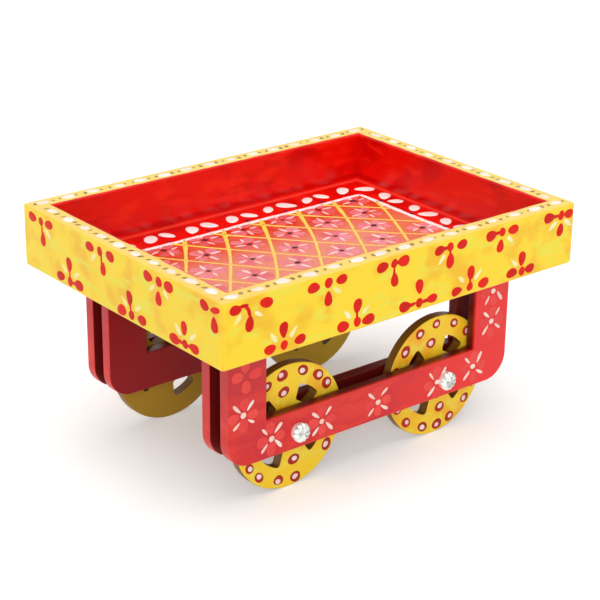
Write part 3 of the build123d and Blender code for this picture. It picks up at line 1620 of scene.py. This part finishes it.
@dataclass(frozen=True)
class Lamp:
    """A broad far lamp: the way to it, how wide it looks in degrees, and its strength."""

    name: str
    way: Triple
    spread: float
    strength: float

    def build(self) -> None:
        """Hang the lamp."""
        data = bpy.data.lights.new(self.name, "SUN")
        data.angle, data.energy = math.radians(self.spread), self.strength
        holder = put_in_scene(self.name, data)
        holder.rotation_euler = (-Vector(self.way)).to_track_quat("-Z", "Y").to_euler()


@dataclass
class Studio:
    """White sweep, soft overhead light and the camera at the photograph's angle."""

    camera_place: Vector = field(default_factory=lambda: Vector((-0.4902, -0.6001, 0.3819)))
    azimuth: float = 39.258
    elevation: float = 22.342
    roll: float = -0.717
    lens: float = 107.49
    sensor: float = 36.0
    floor_half: float = 4.0
    floor_colour: Colour = (0.86, 0.86, 0.86, 1.0)
    floor_glow: Range = (0.34, 1.0)
    glow_reach: Range = (0.25, 0.70)
    sky_colour: Colour = (1.0, 1.0, 1.0, 1.0)
    ambient: float = 0.30
    lamps: tuple[Lamp, ...] = (
        Lamp("key_light", (-0.05, -0.05, 1.0), 65.0, 1.9),
        Lamp("fill_light", (-0.60, -0.72, 0.30), 40.0, 1.4),
    )

    def build(self) -> None:
        """Set up floor, world, lamps and camera."""
        bpy.context.scene.view_settings.view_transform = "Standard"
        self.make_floor()
        self.make_world()
        for lamp in self.lamps:
            lamp.build()
        self.make_camera()

    @staticmethod
    def seen_directly(graph: NodeGraph) -> Socket:
        """1 for rays from the camera, off gloss and through glass, and 0 for rays that light the cart.

        Args:
            graph: The floor's or the world's graph.

        Returns:
            The value's output.
        """
        path = graph.add("LightPath", {}).outputs
        seen = graph.number("MAXIMUM", path["Is Camera Ray"], path["Is Glossy Ray"])
        return graph.number("MAXIMUM", seen, path["Is Transmission Ray"])

    def make_floor(self) -> None:
        """White floor that keeps a soft shadow."""
        mesh = bpy.data.meshes.new("studio_floor")
        half = self.floor_half
        corners = [(x * half, y * half, 0) for x, y in ((-1, -1), (1, -1), (1, 1), (-1, 1))]
        mesh.from_pydata(corners, [], [(0, 1, 2, 3)])
        floor = put_in_scene("studio_floor", mesh)
        material = bpy.data.materials.new("studio_floor")
        material.use_nodes = True
        graph = NodeGraph(material.node_tree)
        graph.nodes.clear()
        place = graph.add("TexCoord", {}).outputs["Object"]
        distance = graph.add("VectorMath", {0: place}, operation="LENGTH").outputs["Value"]
        spread = graph.span(graph.fade(distance, self.glow_reach), self.floor_glow)
        matt = graph.add("BsdfDiffuse", {"Color": self.floor_colour})
        glow = graph.add("Emission", {"Strength": graph.times(self.seen_directly(graph), spread)})
        both = graph.add("AddShader", {0: matt.outputs["BSDF"], 1: glow.outputs["Emission"]})
        graph.add("OutputMaterial", {"Surface": both.outputs["Shader"]})
        mesh.materials.append(material)

    def make_world(self) -> None:
        """Even ambient light that looks white."""
        world = bpy.data.worlds.new("studio")
        bpy.context.scene.world = world
        world.use_nodes = True
        graph = NodeGraph(world.node_tree)
        sky = graph.nodes["Background"]
        graph.put(self.sky_colour, sky.inputs["Color"])
        graph.put(graph.span(self.seen_directly(graph), (self.ambient, 1.0)), sky.inputs["Strength"])

    def make_camera(self) -> None:
        """Camera at the photograph's place, angle and focal length."""
        angles = (self.azimuth, self.elevation, self.roll)
        azimuth, elevation, roll = (math.radians(angle) for angle in angles)
        forward = Vector((
            math.cos(elevation) * math.sin(azimuth),
            math.cos(elevation) * math.cos(azimuth),
            -math.sin(elevation),
        ))
        level = forward.cross(UPWARD).normalized()
        down = forward.cross(level)
        right = math.cos(roll) * level + math.sin(roll) * down
        up = math.sin(roll) * level - math.cos(roll) * down
        data = bpy.data.cameras.new("camera")
        data.lens, data.sensor_width = self.lens, self.sensor
        camera = put_in_scene("camera", data)
        turned = Matrix((right, up, -forward)).transposed()
        camera.matrix_world = Matrix.LocRotScale(self.camera_place, turned.to_quaternion(), None)
        bpy.context.scene.camera = camera


def make_tray() -> Tray:
    """The tray with its coats and paints.

    Returns:
        The tray, not yet built.
    """
    return Tray(
        yellow=Coat(
            main=screen(252, 216, 40),
            deep=screen(244, 186, 26),
            light=screen(238, 224, 66),
            strokes=(70.0, 70.0, 210.0),
            clouds=60.0,
        ),
        red=Coat(
            main=screen(232, 12, 2),
            deep=screen(200, 2, 2),
            light=screen(244, 32, 12),
            strokes=(55.0, 55.0, 190.0),
            gloss=(0.16, 0.28),
        ),
        ember=screen(222, 48, 16),
        coral=screen(238, 128, 92),
        # Lighter bead along the seams, partly painted highlight
        bead=screen(255, 80, 62),
        bare=screen(158, 122, 82),
        worn=screen(244, 186, 58),
        # Paler tone for the tops: painted light from above
        rim=screen(249, 212, 108),
        wall_paint=WallPaint(
            petals=DabFinish(screen(236, 30, 4), screen(196, 14, 6)),
            leaves=DabFinish(screen(252, 242, 196), screen(248, 232, 136)),
        ),
        rim_paint=RimPaint(
            ovals=DabFinish(screen(252, 246, 236), screen(250, 226, 206)),
            dashes=DabFinish(screen(132, 104, 52), screen(186, 150, 84)),
        ),
        floor_paint=FloorPaint(
            white=DabFinish(screen(255, 252, 247), screen(254, 238, 236)),
            lattice=DabFinish(screen(255, 222, 16), screen(255, 222, 110)),
            pink=DabFinish(screen(248, 160, 172), screen(228, 92, 92)),
            blush=DabFinish(screen(255, 236, 238), screen(252, 200, 204)),
            heart=DabFinish(screen(96, 22, 48), screen(60, 14, 60)),
        ),
    )


def make_legs() -> Legs:
    """The leg boards with their coat and paints.

    Returns:
        The legs, not yet built.
    """
    return Legs(
        coat=Coat(
            main=screen(216, 36, 34),
            deep=screen(204, 28, 42),
            light=screen(230, 52, 42),
            strokes=(45.0, 120.0, 150.0),
            gloss=(0.28, 0.42),
        ),
        # Painted light towards the front, and painted shade under the tray high at the rear
        bright=screen(244, 42, 40),
        dull=screen(188, 36, 42),
        worn=screen(232, 76, 70),
        # Painted shade behind the outer faces and in the slot between the boards
        inner=screen(150, 18, 24),
        slot=screen(104, 16, 14),
        white=DabFinish(screen(255, 240, 230), screen(252, 206, 190)),
        coral=DabFinish(screen(244, 84, 76), screen(230, 64, 66)),
    )


def make_running_gear() -> RunningGear:
    """The wheels, pins and stones with their coats and paints.

    Returns:
        The running gear, not yet built.
    """
    return RunningGear(
        coat=Coat(
            main=screen(255, 214, 40),
            deep=screen(250, 178, 24),
            light=screen(248, 226, 76),
            strokes=(120.0, 60.0, 120.0),
        ),
        # Inner faces: lighter on the front wheels as painted light, darker on the rear wheels as painted
        # shade
        front_thin=screen(226, 186, 40),
        rear_thin=screen(174, 134, 28),
        # Sawn edges and windows: partly soaked end grain, partly painted shade
        sawn=screen(126, 84, 22),
        ring=DabFinish(screen(196, 50, 32), screen(160, 46, 26)),
        dot=DabFinish(screen(255, 240, 240), screen(250, 206, 206)),
        # Stone facets: painted reflections of white, grey and red
        glass=StoneFinish(screen(246, 250, 246), screen(150, 166, 160), screen(250, 200, 176)),
        wood=WoodFinish(screen(214, 176, 124), screen(176, 132, 84)),
    )


def main() -> None:
    """Build the cart's looks piece by piece."""
    logging.basicConfig(level=logging.INFO, format="%(name)s: %(message)s")
    for assembly in (make_tray(), make_legs(), make_running_gear(), Studio()):
        assembly.build()
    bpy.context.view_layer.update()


if __name__ == "__main__":
    main()
